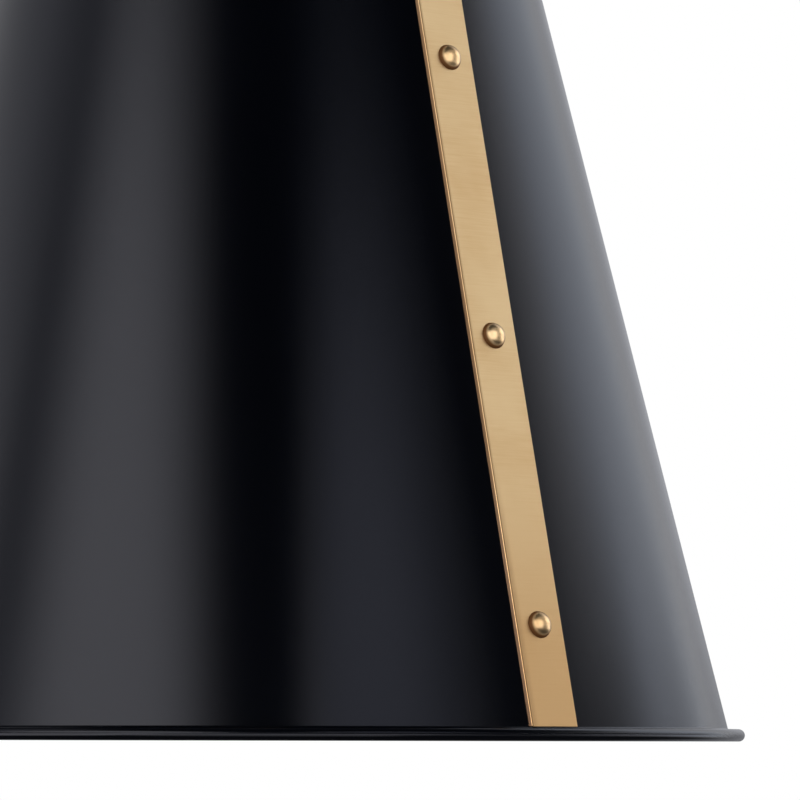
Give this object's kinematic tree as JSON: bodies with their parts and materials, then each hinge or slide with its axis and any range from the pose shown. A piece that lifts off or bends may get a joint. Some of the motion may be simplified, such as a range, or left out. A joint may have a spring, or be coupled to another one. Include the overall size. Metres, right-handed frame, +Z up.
{
  "type": "pendant lamp",
  "caption": "Stem-hung pendant lamp with a tall conical sheet-steel shade, riveted brass straps, a rolled rim, a sloped-ceiling swivel and a screw-in bulb.",
  "frame": {"origin": "on the stem's axis in the ceiling plane, midway between the crossbar's two box-screw slots", "axes": "+Z up out of the ceiling plane along the stem; +X along the crossbar; -Y is the front, the side the picture shows"},
  "size_m": [0.4572, 0.4572, 0.9121],
  "materials": {
    "shade_paint": "satin black",
    "strap_brass": "aged, brushed across",
    "turned_brass": "aged, satin",
    "plated_steel": "zinc plated",
    "green_steel": "green plated",
    "porcelain": "glazed white",
    "shell_brass": "bright",
    "opal_glass": "opal white",
    "black_glass": "black vitrite"
  },
  "bodies": {
    "ceiling_mount": {"crossbar": "plated_steel", "ground_screw": "green_steel", "canopy_studs": "plated_steel", "canopy_cap_nuts": "turned_brass", "canopy": "turned_brass", "canopy_nut": "plated_steel", "canopy_washer": "plated_steel", "canopy_nipple": "plated_steel", "swivel_cap": "turned_brass", "swivel_stop_pin": "plated_steel", "swivel_cup": "turned_brass"},
    "swivel": {"swivel_fork": "turned_brass", "pivot_screws": "turned_brass"},
    "pendant": {"stem_knuckle": "turned_brass", "knuckle_nipple": "plated_steel", "upper_rod": "turned_brass", "rod_coupler": "turned_brass", "coupler_nipple": "plated_steel", "lower_rod": "turned_brass", "stem_collar": "turned_brass", "top_hub": "turned_brass", "hub_spacer": "turned_brass", "strap_front": "strap_brass", "strap_rear": "strap_brass", "strap_left": "strap_brass", "strap_rivets": "strap_brass", "rivet_burrs": "plated_steel", "shade": "shade_paint", "rim_wire": "plated_steel", "inner_plate": "plated_steel", "centre_washer": "plated_steel", "centre_nut": "plated_steel", "centre_nipple": "plated_steel", "husk_nut": "plated_steel", "husk": "turned_brass", "holder_cap": "plated_steel", "lamp_holder": "porcelain", "holder_screws": "plated_steel", "terminal_screws": "shell_brass", "screw_shell": "shell_brass", "centre_contact": "shell_brass"},
    "bulb": {"bulb_glass": "opal_glass", "bulb_cap": "plated_steel", "bulb_insulator": "black_glass", "bulb_contact": "shell_brass"}
  },
  "joints": [
    {"name": "swivel_turn", "type": "hinge", "parent": "ceiling_mount", "child": "swivel", "pos_m": [0, 0, -0.0593], "axis": [0, 0, 1], "range_deg": [-160, 160]},
    {"name": "stem_tilt", "type": "hinge", "parent": "swivel", "child": "pendant", "pos_m": [0, 0, -0.0593], "axis": [0, 1, 0], "range_deg": [-45, 45]},
    {"name": "bulb_remove", "type": "slide", "parent": "pendant", "child": "bulb", "axis": [0, 0, -1], "range_m": [0, 0.06]}
  ]
}
